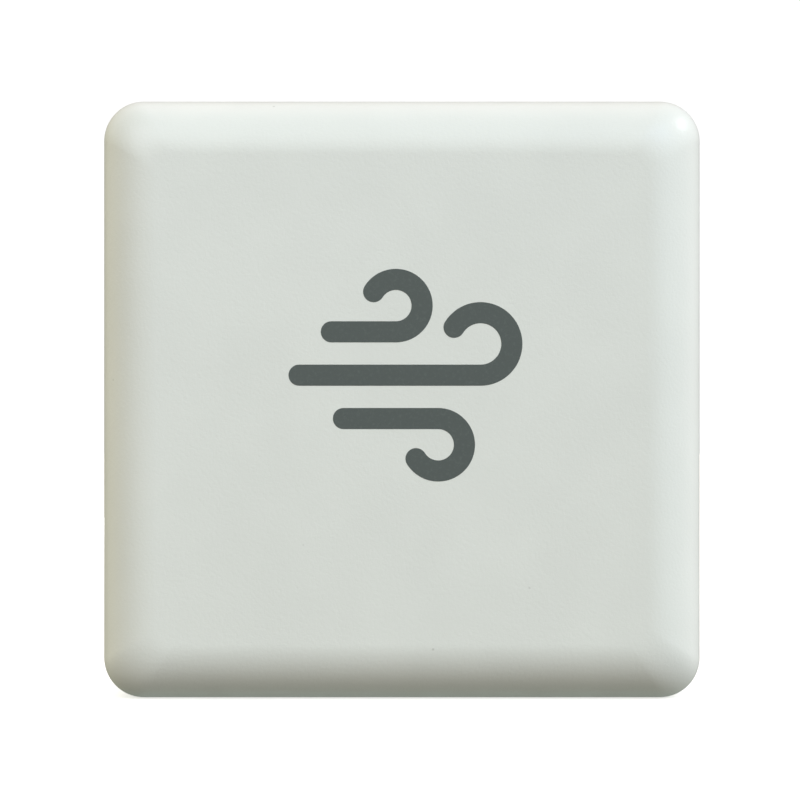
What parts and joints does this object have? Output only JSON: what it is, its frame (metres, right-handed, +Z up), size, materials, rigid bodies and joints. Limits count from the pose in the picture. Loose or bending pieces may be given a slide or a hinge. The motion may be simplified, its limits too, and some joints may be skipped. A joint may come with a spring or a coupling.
{
  "type": "air quality monitor",
  "caption": "Small square wall-mounted air quality monitor with a soft rolled edge round its plain face, air slots and lead inlet below, and keyholes behind.",
  "frame": {"origin": "centre of the footprint, on the bottom face", "axes": "+Z up, the printed front faces -Y, the wall face is +Y, +X is to the right seen from the front"},
  "size_m": [0.06, 0.026, 0.06],
  "materials": {
    "case_plastic": "fine moulded texture, warm off-white",
    "button_plastic": "smooth moulded",
    "clear_plastic": "clear moulded rod, lightly frosted",
    "face_ink": "pad-printed ink, satin",
    "screw_steel": "bright zinc plate",
    "mesh_steel": "pierced stainless sheet",
    "plated_steel": "tin-plated sheet",
    "ground_steel": "ground",
    "cast_aluminium": "die-cast, satin",
    "can_aluminium": "drawn can, satin",
    "brass_can": "turned",
    "bronze_bush": "sintered bronze",
    "coil_copper": "enamelled copper winding",
    "foam": "open-cell foam",
    "foam_tape": "foam tape",
    "wire_sleeve": "wire sleeve",
    "board_green": "solder-masked glass-epoxy",
    "board_dark": "dark solder mask",
    "chip_black": "moulded epoxy",
    "chip_ceramic": "ceramic chips",
    "led_white": "white package",
    "black_plastic": "moulded, satin",
    "connector_nylon": "natural nylon"
  },
  "bodies": {
    "case": {"front_cover": "case_plastic", "rear_cover": "case_plastic", "case_screws": "screw_steel", "dust_mesh": "mesh_steel", "air_gasket": "foam", "light_pipe": "clear_plastic", "main_board": "board_green", "board_screws": "screw_steel", "radio_board": "board_dark", "radio_shield": "plated_steel", "usb_socket": "plated_steel", "regulator": "chip_black", "inductor": "chip_black", "capacitors": "can_aluminium", "chip_parts": "chip_ceramic", "status_led": "led_white", "switch_body": "chip_black", "board_socket": "connector_nylon", "board_plug": "connector_nylon", "sensor_plug": "connector_nylon", "sensor_wires": "wire_sleeve", "sensor_tape": "foam_tape", "sensor_base": "plated_steel", "sensor_lid": "plated_steel", "sensor_board": "board_green", "sensor_socket": "connector_nylon", "laser_block": "cast_aluminium", "laser_diode": "brass_can", "photodiode": "chip_black", "fan_housing": "black_plastic", "fan_stator": "coil_copper", "fan_bearing": "bronze_bush"},
    "fan": {"fan_rotor": "black_plastic", "fan_shaft": "ground_steel"},
    "button": {"reset_button": "button_plastic", "switch_plunger": "black_plastic"}
  },
  "joints": [
    {"name": "fan_spin", "type": "hinge", "parent": "case", "child": "fan", "pos_m": [0.0085, -0.005, 0.0168], "axis": [0, 1, 0], "continuous": true},
    {"name": "button_press", "type": "slide", "parent": "case", "child": "button", "axis": [0, 0, 1], "range_m": [0, 0.0003], "stiffness_N_per_m": 1500, "springref_m": -0.0003}
  ]
}
